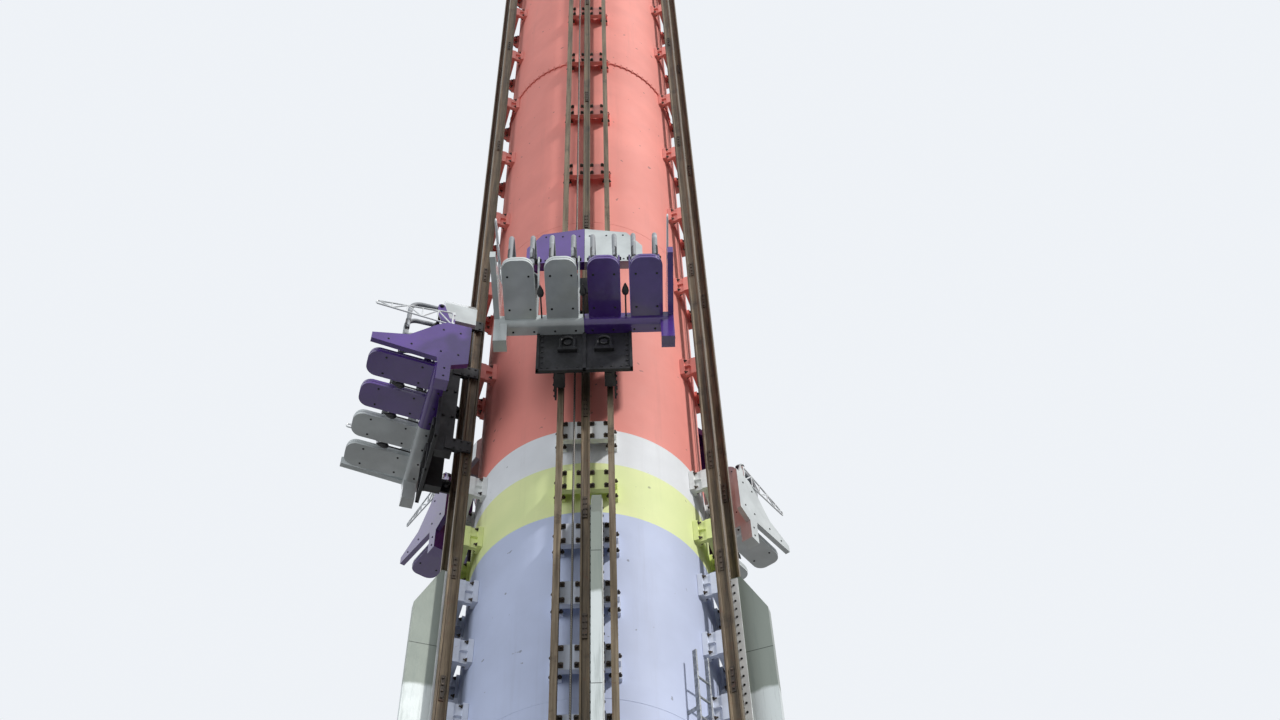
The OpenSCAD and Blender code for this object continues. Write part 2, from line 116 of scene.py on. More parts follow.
class Nodes:
    """A node tree, with short calls for building it."""

    def __init__(self, tree):
        self.tree = tree

    def new(self, kind, **values):
        node = self.tree.nodes.new(kind)
        for key, value in values.items():
            setattr(node, key, value)
        return node

    def link(self, source, target):
        self.tree.links.new(source, target)

    def give(self, socket, value):
        """Links another node's output to a socket, or sets the socket's own value."""
        if isinstance(value, bpy.types.NodeSocket):
            self.link(value, socket)
        else:
            socket.default_value = value

    def fill(self, node, **values):
        for key, value in values.items():
            self.give(node.inputs[key.replace("_", " ")], value)
        return node

    def math(self, operation, *values):
        node = self.new("ShaderNodeMath", operation=operation)
        for socket, value in zip(node.inputs, values):
            self.give(socket, value)
        return node.outputs[0]

    def rays(self, first, *others):
        """1 for the rays of any of these kinds, 0 for the rest."""
        path = self.new("ShaderNodeLightPath")
        seen = path.outputs[first]
        for kind in others:
            seen = self.math("MAXIMUM", seen, path.outputs[kind])
        return seen


class Look(Nodes):
    """A material's node tree, with its noises, masks and stains."""

    def __init__(self, name):
        self.material = bpy.data.materials.new(name)
        self.material.use_nodes = True
        super().__init__(self.material.node_tree)
        self.shader = self.tree.nodes["Principled BSDF"]
        self.where = self.new("ShaderNodeTexCoord").outputs["Object"]

    def stretched(self, x, y, z):
        return self.fill(self.new("ShaderNodeMapping"), Scale=(x, y, z), Vector=self.where).outputs[0]

    def height(self):
        """The height above the foot, in metres."""
        return self.fill(self.new("ShaderNodeSeparateXYZ"), Vector=self.where).outputs[2]

    def noise(self, scale, detail=4, rough=0.6, vector=None):
        node = self.new("ShaderNodeTexNoise")
        self.fill(node, Scale=scale, Detail=detail, Roughness=rough, Vector=vector or self.where)
        return node.outputs["Fac"]

    def cells(self, scale, **kind):
        return self.fill(self.new("ShaderNodeTexVoronoi", **kind), Scale=scale, Vector=self.where)

    def ramp(self, value, low, high):
        """0 below low, 1 above high, smooth between."""
        node = self.new("ShaderNodeMapRange", interpolation_type="SMOOTHSTEP")
        return self.fill(node, From_Min=low, From_Max=high, Value=value).outputs[0]

    def scaled(self, value, low, high):
        return self.fill(self.new("ShaderNodeMapRange"), To_Min=low, To_Max=high, Value=value).outputs[0]

    def mix(self, factor, first, second):
        node = self.new("ShaderNodeMix", data_type="RGBA")
        for place, value in ((0, factor), (6, first), (7, second)):
            self.give(node.inputs[place], value)
        return node.outputs[2]

    def stain(self, base, colour, share, low, high, **noise):
        """Lays a colour over the base, up to a share, where a noise is above low."""
        mask = self.ramp(self.noise(**noise), low, high)
        return self.mix(self.math("MULTIPLY", mask, share), base, colour)

    def bands(self, colours):
        """One colour for each paint band, by height."""
        full = 30.0
        node = self.new("ShaderNodeValToRGB")
        node.color_ramp.interpolation = "CONSTANT"
        stops = [0, YELLOW_FROM / full, WHITE_FROM / full, CORAL_FROM / full]
        elements = node.color_ramp.elements
        while len(elements) < len(stops):
            elements.new(1)
        for element, stop, colour in zip(elements, stops, colours):
            element.position = stop
            element.color = colour
        self.link(self.math("DIVIDE", self.height(), full), node.inputs[0])
        return node.outputs[0]

    def bump(self, relief, strength, distance):
        node = self.fill(self.new("ShaderNodeBump"), Strength=strength, Distance=distance, Height=relief)
        self.fill(self.shader, Normal=node.outputs[0])

    def done(self, colour, rough, **fixed):
        self.fill(self.shader, Base_Color=colour, Roughness=rough, **fixed)
        return self.material


def column_paint(name, colour):
    """Weathered gloss paint, faded in patches, with rain streaks, dirt spots, grime and a fine peel."""
    look = Look(name)
    patch = look.ramp(look.noise(scale=0.9, detail=5, rough=0.55), 0.35, 0.7)
    base = look.mix(patch, shade(colour, 0.95), shade(colour, 1.03))
    base = look.stain(base, RAIN_STREAK, share=0.11, low=0.52, high=0.78,
                      scale=3.0, detail=6, rough=0.65, vector=look.stretched(3, 3, 0.16))
    base = look.stain(base, DIRT_SPOT, share=0.5, low=0.735, high=0.765, scale=17, detail=2, rough=0.4)
    base = look.stain(base, GRIME, share=0.08, low=0.6, high=0.75, scale=2.2, detail=8, rough=0.7)
    peel = look.math("MULTIPLY", look.noise(scale=95, detail=3, rough=0.5), 0.4)
    dents = look.noise(scale=4, detail=2, rough=0.5)
    look.bump(look.math("ADD", peel, dents), strength=0.12, distance=0.004)
    return look.done(base, look.scaled(look.noise(scale=5), 0.58, 0.74))


def banded_paint(name):
    """The brackets' paint, which follows the column's bands, with rust where it has chipped."""
    look = Look(name)
    base = look.bands([srgb(222, 228, 242), srgb(236, 246, 168), srgb(242, 244, 242), srgb(242, 148, 136)])
    base = look.stain(base, FADED, share=0.18, low=0.4, high=0.7, scale=9, detail=5)
    base = look.stain(base, RUST, share=0.4, low=0.628, high=0.72, scale=26, detail=7, rough=0.7)
    look.bump(look.noise(scale=120), strength=0.25, distance=0.002)
    return look.done(base, look.scaled(look.noise(scale=30), 0.38, 0.65))


def rail_steel(name, light, dark, metal=0.35):
    """Brown painted steel, rubbed bright in long streaks, with grease and rust."""
    look = Look(name)
    run = look.noise(scale=7, detail=7, rough=0.7, vector=look.stretched(6, 6, 0.25))
    base = look.mix(look.ramp(run, 0.3, 0.72), srgb(*dark), srgb(*light))
    base = look.stain(base, RAIL_RUST, share=0.55, low=0.56, high=0.68, scale=14, detail=8, rough=0.72)
    base = look.stain(base, GREASE, share=0.6, low=0.55, high=0.7, scale=3.4, detail=6, rough=0.7)
    pits = look.noise(scale=60, detail=5, rough=0.7)
    look.bump(look.math("ADD", pits, run), strength=0.35, distance=0.003)
    return look.done(base, look.scaled(look.noise(scale=12, detail=5), 0.32, 0.7), Metallic=metal)


def fin_alloy(name):
    """Brake fin: pale alloy, scuffed below, in panels with dark seams; grey-green above, where the car's
    shadow is painted on it.
    """
    look = Look(name)
    height = look.height()
    panel_pitch, seam_share, car_shadow_from = 1.03, 0.006, 6.86
    wobble = look.math("ADD", height, look.scaled(look.noise(scale=7), -0.04, 0.04))
    # Painted shadow of the car above: the fin is grey-green above this height, with a wobbly edge, and pale
    # below.
    car_shadow = look.ramp(wobble, car_shadow_from, car_shadow_from + 0.04)
    base = look.mix(car_shadow, srgb(214, 221, 220), srgb(142, 150, 142))
    base = look.stain(base, SCUFF, share=0.35, low=0.5, high=0.72,
                      scale=6, detail=6, rough=0.7, vector=look.stretched(5, 5, 0.4))
    panel = look.math("FRACT", look.math("DIVIDE", height, panel_pitch))
    seam = look.math("LESS_THAN", panel, seam_share)
    base = look.mix(look.math("MULTIPLY", seam, 0.8), base, srgb(40, 42, 42))
    relief = look.math("SUBTRACT", look.noise(scale=50), look.math("MULTIPLY", seam, 3.0))
    look.bump(relief, strength=0.2, distance=0.003)
    return look.done(base, look.scaled(look.noise(scale=9), 0.28, 0.5), Metallic=0.4)


def moulded(name, colour, rough=(0.16, 0.3), scuffed=0.15, coat=0.6):
    """Glossy moulded shell with faint mottling, fine scratches and dust."""
    look = Look(name)
    tone = look.ramp(look.noise(scale=5, rough=0.5), 0.3, 0.75)
    base = look.mix(tone, shade(colour, 0.93), shade(colour, 1.05))
    base = look.stain(base, SCRATCH, share=scuffed, low=0.64, high=0.72,
                      scale=38, detail=8, rough=0.75, vector=look.stretched(1, 1, 6))
    base = look.stain(base, DUST, share=scuffed, low=0.54, high=0.78, scale=3.1, detail=6, rough=0.7)
    grain = look.math("MULTIPLY", look.noise(scale=160, detail=3), 0.15)
    look.bump(look.math("ADD", look.noise(scale=8, detail=2), grain), strength=0.12, distance=0.004)
    gloss = look.scaled(look.noise(scale=14, detail=5), *rough)
    return look.done(base, gloss, Coat_Weight=coat, Coat_Roughness=0.08)


def dark_steel(name, colour=(30, 30, 32), worn=0.5, metal=0.2):
    """Satin dark paint with rubbed and rusty places."""
    look = Look(name)
    tone = look.ramp(look.noise(scale=11, detail=6, rough=0.65), 0.35, 0.75)
    base = look.mix(tone, shade(colour, 0.8), shade(colour, 1.7))
    base = look.stain(base, RUBBED, share=worn, low=0.63, high=0.71, scale=32, detail=8, rough=0.75)
    look.bump(look.noise(scale=90, detail=5, rough=0.65), strength=0.3, distance=0.002)
    return look.done(base, look.scaled(look.noise(scale=18, detail=5), 0.35, 0.62), Metallic=metal)


def zinc(name, tint=(150, 153, 156)):
    """Galvanised steel with its spangle, and stains."""
    look = Look(name)
    spangle = look.new("ShaderNodeSeparateColor")
    look.link(look.cells(60).outputs["Color"], spangle.inputs[0])
    base = look.mix(spangle.outputs[0], shade(tint, 0.86), shade(tint, 1.12))
    base = look.stain(base, STAIN, share=0.5, low=0.52, high=0.72, scale=6, detail=7, rough=0.7)
    look.bump(look.noise(scale=70), strength=0.2, distance=0.002)
    return look.done(base, look.scaled(spangle.outputs[1], 0.3, 0.55), Metallic=0.85)


def wire_rope(name):
    """Greased wire rope: slanted strands from a band pattern."""
    look = Look(name)
    wave = look.new("ShaderNodeTexWave", wave_type="BANDS", bands_direction="DIAGONAL")
    strand = look.fill(wave, Scale=34, Distortion=0.3, Vector=look.where).outputs["Fac"]
    base = look.mix(strand, srgb(48, 46, 44), srgb(138, 134, 128))
    base = look.stain(base, ROPE_GREASE, share=0.5, low=0.5, high=0.7, scale=5, detail=5)
    look.bump(strand, strength=0.7, distance=0.002)
    return look.done(base, look.scaled(look.noise(scale=20), 0.3, 0.5), Metallic=0.8)


def grained(name, colour, scale=240):
    """Moulded plastic with a leather-like grain, paler where it is worn."""
    look = Look(name)
    wear = look.ramp(look.noise(scale=9, detail=6, rough=0.7), 0.5, 0.75)
    base = look.mix(wear, srgb(*colour), shade(colour, 1.35, lift=8))
    grain = look.cells(scale, feature="SMOOTH_F1").outputs["Distance"]
    look.bump(grain, strength=0.4, distance=0.0015)
    return look.done(base, look.scaled(look.noise(scale=12), 0.5, 0.72))


LAVENDER = column_paint("lavender_paint", (196, 206, 234))
YELLOW = column_paint("yellow_paint", (238, 249, 180))
WHITE = column_paint("white_paint", (236, 239, 243))
CORAL = column_paint("coral_paint", (245, 150, 138))
BRACKET = banded_paint("bracket_paint")
BRACKET_BOLT = dark_steel("bolt_steel", (58, 50, 44), worn=0.6, metal=0.5)
RAIL = rail_steel("weathered_rail", (120, 104, 82), (64, 54, 42))
RAIL_RUN = rail_steel("rail_running_face", (140, 126, 106), (84, 72, 58), metal=0.6)
RAIL_DARK = rail_steel("rail_dark", (86, 72, 56), (44, 36, 30), metal=0.2)
FIN = fin_alloy("fin_grey")
STRIP = moulded("fin_strip_white", (236, 238, 238), rough=(0.35, 0.5), scuffed=0.175, coat=0.1)
SHELL_WHITE = moulded("white_shell", (205, 212, 212))
SHELL_PURPLE = moulded("purple_shell", (84, 50, 140))
BLACK = dark_steel("black_steel")
SCREW = dark_steel("screw_black", (22, 22, 24), worn=0.2, metal=0.6)
HARNESS = grained("harness_grey", (150, 154, 158))
LINER = grained("seat_liner", (26, 26, 28), scale=300)
GUARD = moulded("guard_white", (232, 236, 238), rough=(0.25, 0.4), scuffed=0.2, coat=0.3)
ZINC = zinc("galvanised_steel")
ROPE = wire_rope("wire_rope")
ANCHOR = zinc("anchor_zinc", (128, 130, 132))


# Places

def moved(x, y, z):
    return Matrix.Translation((x, y, z))


def tipped(degrees, axis):
    return Matrix.Rotation(math.radians(degrees), 4, axis)


def aimed(point, direction):
    """A place at a point, with Z along a direction."""
    return moved(*point) @ Vector(direction).to_track_quat("Z", "Y").to_matrix().to_4x4()


def mirrored(way, axis=(0, 0, 1)):
    """Mirrors along the axis where way is -1."""
    return Matrix.Scale(way, 4, axis)


def around(count, start=0.5):
    """The turns about the column for a ring of equal steps, from a share of a step."""
    return [Matrix.Rotation(2 * math.pi * (order + start) / count, 4, "Z") for order in range(count)]


TRACK_TURNS = around(TRACKS, 0)


# Shapes

class Shape:
    """Collects the faces of one piece, with a material slot for each face."""

    def __init__(self):
        self.verts, self.faces, self.slots = [], [], []

    def add(self, part, place=None, slot=0):
        first = len(self.verts)
        verts, faces = part
        place = place or Matrix()
        self.verts += [place @ Vector(vert) for vert in verts]
        if place.determinant() < 0:
            faces = [face[::-1] for face in faces]
        self.faces += [[first + corner for corner in face] for face in faces]
        self.slots += [slot] * len(faces)

    def piece(self, name, body, *materials, slot, place=None, bevel=0, segments=2):
        """Makes the piece with a material for each face's slot, rounds its edges, and lets it ride on a body.
        The slot argument is not used.
        """
        mesh = bpy.data.meshes.new(name)
        mesh.from_pydata([tuple(vert) for vert in self.verts], [], self.faces)
        for material in materials:
            mesh.materials.append(material)
        mesh.polygons.foreach_set("material_index", self.slots)
        mesh.update()
        mesh.shade_smooth()
        mesh.set_sharp_from_angle(angle=math.radians(35))
        piece = bpy.data.objects.new(name, mesh)
        bpy.context.collection.objects.link(piece)
        if place is not None:
            piece.matrix_world = place
        if bevel:
            rounded(piece, bevel, segments)
        bpy.context.view_layer.update()
        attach(piece, body)
        return piece


def rounded(piece, width, segments):
    """Rounds an object's edges, and keeps its flat faces flat."""
    bevel = piece.modifiers.new("edges", "BEVEL")
    bevel.width = width
    bevel.segments = segments
    bevel.limit_method = "ANGLE"
    bevel.angle_limit = math.radians(40)
    bevel.harden_normals = True
    bevel.use_clamp_overlap = True


def block(low, high):
    (left, near, bottom), (right, far, top) = low, high
    ring = [(left, near), (right, near), (right, far), (left, far)]
    verts = [(x, y, z) for z in (bottom, top) for x, y in ring]
    return verts, [[0, 3, 2, 1], [4, 5, 6, 7], [0, 1, 5, 4], [1, 2, 6, 5], [2, 3, 7, 6], [3, 0, 4, 7]]


def rim_faces(count, rows, closed=False):
    """The faces between rows of count points each, and from the last row to the first if closed."""
    faces = []
    for row in range(rows if closed else rows - 1):
        low, high = row * count, (row + 1) % rows * count
        for side in range(count):
            beside = (side + 1) % count
            faces.append([low + side, low + beside, high + beside, high + side])
    return faces


def prism(outline, height, base=0.0):
    """An outline, counter-clockwise in XY, drawn out along Z."""
    count = len(outline)
    verts = [(x, y, z) for z in (base, base + height) for x, y in outline]
    ends = [list(range(count))[::-1], list(range(count, 2 * count))]
    return verts, ends + rim_faces(count, 2)


def lathe(profile, count=16):
    """A profile of (radius, height), from the bottom up, turned round Z. The ends are closed."""
    turns = [2 * math.pi * side / count for side in range(count)]
    verts = [(radius * math.cos(turn), radius * math.sin(turn), z) for radius, z in profile for turn in turns]
    last = (len(profile) - 1) * count
    ends = [list(range(count))[::-1], list(range(last, last + count))]
    return verts, ends + rim_faces(count, len(profile))


def tube(path, radius, count=10, closed=False):
    """A round tube along a path of points. radius is a number, or one for each point."""
    path = [Vector(point) for point in path]
    points = len(path)
    radii = radius if isinstance(radius, list) else [radius] * points
    verts, normal = [], None
    for order, point in enumerate(path):
        if closed:
            ahead = path[(order + 1) % points] - path[order - 1]
        else:
            ahead = path[min(order + 1, points - 1)] - path[max(order - 1, 0)]
        ahead.normalize()
        if normal is None:
            normal = ahead.orthogonal().normalized()
        normal = (normal - ahead * normal.dot(ahead)).normalized()
        side = ahead.cross(normal)
        for step in range(count):
            turn = 2 * math.pi * step / count
            verts.append(point + (normal * math.cos(turn) + side * math.sin(turn)) * radii[order])
    faces = rim_faces(count, points, closed)
    if not closed:
        last = (points - 1) * count
        faces += [list(range(count))[::-1], list(range(last, last + count))]
    return verts, faces


def arc_path(points, radius, steps=5):
    """A path through the points with its corners rounded to the radius."""
    points = [Vector(point) for point in points]
    path = [points[0]]
    for before, corner, after in zip(points, points[1:], points[2:]):
        back, on = before - corner, after - corner
        reach = min(radius, back.length * 0.49, on.length * 0.49)
        start, end = corner + back.normalized() * reach, corner + on.normalized() * reach
        for step in range(steps + 1):
            share = step / steps
            path.append((1 - share) ** 2 * start + 2 * share * (1 - share) * corner + share ** 2 * end)
    return path + [points[-1]]


def joined(verts, faces, part):
    """A shape with a second one's points and sides, but not that one's lower end."""
    more, sides = part
    first = len(verts)
    return verts + more, faces + [[first + corner for corner in face] for face in sides[1:]]


def hex_bolt(radius, height, washer=True):
    """A hexagon head, on its washer or without one, seated at z = 0, with a chamfered top."""
    low = height * 0.2 if washer else 0.0
    rows = ((radius, low), (radius, height * 0.85), (radius * 0.86, height))
    sides = 6
    turns = [2 * math.pi * side / sides for side in range(sides)]
    verts = [(reach * math.cos(turn), reach * math.sin(turn), z) for reach, z in rows for turn in turns]
    faces = [list(range(2 * sides, 3 * sides))] + rim_faces(sides, len(rows))
    if washer:
        return joined(verts, faces, lathe([(radius * 1.3, 0), (radius * 1.3, low)], 10))
    return verts, faces


def nut_on_stud(radius, height, stud):
    """A hexagon nut with its stud standing out of it."""
    rod = lathe([(radius * 0.55, 0), (radius * 0.55, stud * 0.96), (radius * 0.45, stud)], 10)
    return joined(*hex_bolt(radius, height), rod)


def screw_head(radius):
    """A pan head with a recess."""
    height = 0.004
    profile = [(1, 0), (1, 0.45), (0.8, 0.9), (0.42, 1), (0.34, 0.4)]
    return lathe([(radius * across, height * up) for across, up in profile], 12)


def rounded_outline(width, low, high, top_radius, low_radius):
    """An upright panel's outline, centred on x = 0, with its corners rounded."""
    steps = 8
    side, top = width / 2 - top_radius, high - top_radius
    foot, bottom = width / 2 - low_radius, low + low_radius
    corners = ((foot, bottom, low_radius, -90), (side, top, top_radius, 0),
               (-side, top, top_radius, 90), (-foot, bottom, low_radius, 180))
    points = []
    for x, z, radius, start in corners:
        for step in range(steps + 1):
            turn = math.radians(start + 90 * step / steps)
            points.append((x + radius * math.cos(turn), z + radius * math.sin(turn)))
    return points


def pillow(outline, depth, crown):
    """A moulded pad: an outline whose rim rounds over and whose face crowns, with Z as its thickness."""
    count, rings = len(outline), 5
    middle_x = sum(x for x, y in outline) / count
    middle_y = sum(y for x, y in outline) / count
    face_share = 0.95
    steps = [(1.0, 0.0), (1.0, depth * 0.6), (0.985, depth * 0.85), (face_share, depth)]
    for ring in range(1, rings):
        inward = ring / rings
        steps.append((face_share * (1 - inward), depth + crown * math.sin(math.pi / 2 * inward)))
    verts = [(middle_x + (x - middle_x) * share, middle_y + (y - middle_y) * share, z)
             for share, z in steps for x, y in outline]
    faces = rim_faces(count, len(steps))
    last = (len(steps) - 1) * count
    faces += [[last + side, last + (side + 1) % count, len(verts)] for side in range(count)]
    faces.append(list(range(count))[::-1])
    verts.append((middle_x, middle_y, depth + crown))
    return verts, faces


# Camera, light and floor

def set_camera():
    """The photograph's view: from below, in front of the first track."""
    turn = Matrix.Rotation(math.radians(2.0), 3, "Z")
    pitch, roll, yaw = math.radians(53.24), math.radians(-2.6), math.radians(3.24)
    ahead = Vector((math.sin(yaw) * math.cos(pitch), math.cos(yaw) * math.cos(pitch), math.sin(pitch)))
    right = Vector((math.cos(yaw), -math.sin(yaw), 0))
    up = right.cross(ahead)
    across = math.cos(roll) * right + math.sin(roll) * up
    above = -math.sin(roll) * right + math.cos(roll) * up
    across, above, ahead = turn @ across, turn @ above, turn @ ahead
    data = bpy.data.cameras.new("camera")
    data.lens, data.sensor_width, data.clip_end = 41.12, 36, 300
    camera = bpy.data.objects.new("camera", data)
    bpy.context.collection.objects.link(camera)
    place = turn @ Vector((0, -8.7 * COLUMN_RADIUS, 0)) + Vector((0, 0, COLUMN_RADIUS))
    camera.matrix_world = moved(*place) @ Matrix((across, above, -ahead)).transposed().to_4x4()
    bpy.context.scene.camera = camera


def add_sun(name, direction, strength, spread, colour):
    data = bpy.data.lights.new(name, "SUN")
    data.energy, data.angle, data.color = strength, math.radians(spread), colour
    lamp = bpy.data.objects.new(name, data)
    bpy.context.collection.objects.link(lamp)
    lamp.rotation_euler = (-Vector(direction)).to_track_quat("-Z", "Y").to_euler()


def set_light():
    """A pale surround that lights softly, with the key light from the right as in the photograph."""
    bpy.context.scene.view_settings.view_transform = "Standard"
    world = bpy.data.worlds.new("studio")
    bpy.context.scene.world = world
    world.use_nodes = True
    nodes = Nodes(world.node_tree)
    soft = nodes.fill(nodes.tree.nodes["Background"], Color=(0.93, 0.96, 1.0, 1), Strength=0.37)
    shown = nodes.fill(nodes.new("ShaderNodeBackground"), Color=(0.86, 0.89, 0.93, 1), Strength=1.0)
    seen = nodes.rays("Is Camera Ray", "Is Glossy Ray", "Is Transmission Ray")
    mix = nodes.new("ShaderNodeMixShader")
    for socket, source in zip(mix.inputs, (seen, soft.outputs[0], shown.outputs[0])):
        nodes.link(source, socket)
    nodes.fill(nodes.tree.nodes["World Output"], Surface=mix.outputs[0])
    add_sun("key", (0.80, -0.62, 0.80), strength=2.6, spread=4, colour=(1.0, 0.98, 0.95))
    add_sun("fill", (-0.8, -0.9, 0.15), strength=1.2, spread=40, colour=(0.92, 0.96, 1.0))


def set_floor():
    """A pale concrete floor, which throws less light up than it shows."""
    look = Look("floor")
    patch = look.ramp(look.noise(scale=0.7, detail=5), 0.3, 0.7)
    pale = look.mix(patch, srgb(222, 223, 222), srgb(230, 231, 230))
    base = look.mix(look.rays("Is Camera Ray", "Is Glossy Ray"), srgb(112, 112, 114), pale)
    look.bump(look.noise(scale=30), strength=0.1, distance=0.003)
    look.done(base, look.scaled(look.noise(scale=3), 0.75, 0.9))
    reach, level = 120, -0.002
    corners = [(x * reach, y * reach, level) for x, y in ((-1, -1), (1, -1), (1, 1), (-1, 1))]
    mesh = bpy.data.meshes.new("floor")
    mesh.from_pydata(corners, [], [[0, 1, 2, 3]])
    mesh.materials.append(look.material)
    floor = bpy.data.objects.new("floor", mesh)
    bpy.context.collection.objects.link(floor)


# Column, base and head

def paint(node, material, edge=0, segments=1):
    """Gives a CAD node its material, and rounds its edges."""
    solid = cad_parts[node]
    solid.data.materials.clear()
    solid.data.materials.append(material)
    if edge:
        rounded(solid, edge, segments)


def finish_solids():
    """The materials and soft edges of the solids that stay."""
    soft = 0.004
    finishes = (
        (LAVENDER, 0, ("column_lavender", "head_housing")),
        (YELLOW, 0, ("column_yellow",)),
        (WHITE, 0, ("column_white",)),
        (CORAL, 0, ("column_coral", "column_upper", "joint_rings")),
        (ZINC, 0, ("base_plate", "head_plate")),
        (ROPE, 0, ("hoist_cables",)),
        (FIN, 0, ("brake_fins",)),
        (LAVENDER, soft, ("base_gussets",)),
        (BRACKET, soft, ("brackets_low", "brackets_high")),
        (ZINC, soft, ("cable_anchors",)),
        (RAIL_DARK, soft, ("sheave_cheeks",)))
    for material, edge, nodes in finishes:
        for node in nodes:
            paint(node, material, edge)


def dress_column():
    """Bolts on the joint rings, and ring welds where the column's plates meet."""
    bolts = Shape()
    ring_middle, ring_half = COLUMN_RADIUS + 0.0075, 0.012
    for level in JOINT_LEVELS:
        for turn in around(JOINT_BOLTS):
            for way in (1, -1):
                seat = turn @ moved(0, -ring_middle, level + way * ring_half)
                bolts.add(hex_bolt(0.0085, 0.020), seat @ mirrored(way))
    bolts.piece("joint_bolts", "tower", CORAL, slot="coral_paint")

    seams = Shape()
    sunk, proud = COLUMN_RADIUS - 0.002, COLUMN_RADIUS + 0.0016
    foot, crown = 0.006, 0.003
    bead, faces = lathe([(sunk, -foot), (proud, -crown), (proud, crown), (sunk, foot)], 96)
    for level in (1.6, 3.2, 6.4, 11.6, 17.4, 20.0, 22.4, 27.0):
        seams.add((bead, faces[2:]), moved(0, 0, level), 0 if level < YELLOW_FROM else 1)
    seams.piece("weld_seams", "tower", LAVENDER, CORAL, slot="lavender_paint")


def dress_base():
    """The anchor nuts, the welds along the gussets, and the ladder-like frame low on the column."""
    anchors = Shape()
    for turn in around(GUSSETS):
        anchors.add(nut_on_stud(0.027, 0.026, stud=0.052), turn @ moved(0, -ANCHOR_REACH, BASE_TOP))
    anchors.piece("anchor_nuts", "tower", ANCHOR, slot="galvanised_steel")

    ladder = Shape()
    turn = tipped(48, "Z")
    half, low, high, middle, rung_radius = 0.055, 0.3, 6.9, -0.93, 0.008
    first, pitch, rungs_a_stay, stay_low, stay_high = 0.4, 0.15, 5, 0.05, 0.075
    stay_end = 0.005 - COLUMN_RADIUS
    for x in (-half, half):
        ladder.add(block((x - 0.006, middle - 0.015, low), (x + 0.006, middle + 0.015, high)), turn)
    for order in range(int((high - first) / pitch)):
        z = first + pitch * order
        ladder.add(tube(((-half, middle, z), (half, middle, z)), rung_radius, 8), turn)
        if order % rungs_a_stay == 0:
            for x in (-half, half):
                stay = block((x - 0.005, middle, z + stay_low), (x + 0.005, stay_end, z + stay_high))
                ladder.add(stay, turn)
    ladder.piece("service_ladder", "tower", ZINC, bevel=0.0012, segments=1, slot="galvanised_steel")

    weld = Shape()
    steps, upright_step, foot_step = range(11), 0.0146, 0.026
    wall, foot_start = -COLUMN_RADIUS - 0.003, -COLUMN_RADIUS - 0.012
    upright_start, foot_level = BASE_TOP + 0.004, BASE_TOP + 0.0015
    ripple = [0.0035 + 0.0008 * (step % 2) for step in steps]
    for turn in around(GUSSETS, 0):
        for side in (-GUSSET_HALF, GUSSET_HALF):
            upright = [(side, wall, upright_start + upright_step * step) for step in steps]
            foot = [(side, foot_start - foot_step * step, foot_level) for step in steps]
            weld.add(tube(upright, ripple, 6), turn)
            weld.add(tube(foot, ripple, 6), turn)
    weld.piece("gusset_welds", "tower", LAVENDER, slot="lavender_paint")


def dress_head():
    """The machine housing's bolts, cover strips and louvres."""
    head = Shape()
    bolts, flange_reach, cap_reach, cap_rise = 40, 0.655, 0.63, 0.652
    for turn in around(bolts, 0):
        head.add(hex_bolt(0.013, 0.016), turn @ moved(0, -flange_reach, HEAD_TOP))
        head.add(hex_bolt(0.0088, 0.0104), turn @ aimed((0, -cap_reach, HEAD_TOP + cap_rise), OUTWARD))
    panels, strip_half, strip_tall = 8, 0.03, 0.62
    louvres, louvre_wide, louvre_rise, louvre_pitch = 5, 0.24, 0.16, 0.055
    blade = [(-0.62, 0), (-0.606, 0), (-0.606, 0.03), (-0.612, 0.03)]
    verts, faces = prism(blade, louvre_wide, -louvre_wide / 2)
    louvre = [(z, x, y) for x, y, z in verts], faces
    half_panel = tipped(180 / panels, "Z")
    strip = block((-strip_half, -0.622, HEAD_TOP), (strip_half, -0.608, HEAD_TOP + strip_tall))
    for turn in around(panels):
        head.add(strip, turn, 1)
        for order in range(louvres):
            level = HEAD_TOP + louvre_rise + louvre_pitch * order
            head.add(louvre, turn @ half_panel @ moved(0, 0, level), 1)
    head.piece("head_fittings", "tower", ZINC, LAVENDER, slot="galvanised_steel")


def dress_hoists():
    """Grooved sheave wheels with their pins, and the clamps on each cable's lower end."""
    sheaves, pins, clamps = Shape(), Shape(), Shape()
    low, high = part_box("sheaves")
    middle, outer = (low[2] + high[2]) / 2, (high[2] - low[2]) / 2
    bore, hub, hub_half, web_half, rim_half, lip_half = 0.022, 0.034, 0.025, 0.006, 0.017, 0.012
    side = [(bore, hub_half), (hub, hub_half), (hub, 0.014), (outer * 0.78, web_half),
            (outer * 0.8, rim_half), (outer, rim_half), (outer, lip_half)]
    wheel = [(radius, -z) for radius, z in side] + [(outer * 0.93, 0.0)] + side[::-1]
    boss = lathe([(0.016, 0), (0.016, 0.005), (0.012, 0.006)], 14)
    bosses, boss_reach, cheek_face = 6, 0.066, 0.0375
    grips, grip_from, grip_pitch = 3, 0.25, 0.07
    grip_wide, grip_deep, grip_tall = 0.016, 0.012, 0.009
    clamp = block((-grip_wide, -grip_deep, -grip_tall), (grip_wide, grip_deep, grip_tall))
    for turn in TRACK_TURNS:
        place = turn @ moved(ROPE_X, ROPE_Y - ROPE_RADIUS + SHEAVE_RADIUS, middle) @ tipped(90, "Y")
        sheaves.add(lathe(wheel, 48), place)
        for spoke in around(bosses, 0):
            sheaves.add(boss, place @ spoke @ moved(boss_reach, 0, web_half))
        for way in (1, -1):
            pins.add(hex_bolt(0.02, 0.016), place @ mirrored(way) @ moved(0, 0, cheek_face))
        for order in range(grips):
            grip = turn @ moved(ROPE_X, ROPE_Y, grip_from + grip_pitch * order)
            clamps.add(clamp, grip)
            for x in (-0.011, 0.011):
                seat = aimed((x, -grip_deep, 0), OUTWARD)
                clamps.add(hex_bolt(0.006, 0.009, washer=False), grip @ seat)
    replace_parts(sheaves.piece("sheave_wheels", "tower", ZINC, slot="galvanised_steel"), "sheaves")
    pins.piece("sheave_pins", "tower", BRACKET_BOLT, slot="galvanised_steel")
    clamps.piece("cable_clamps", "tower", ZINC, bevel=0.0015, slot="galvanised_steel")


# Tracks

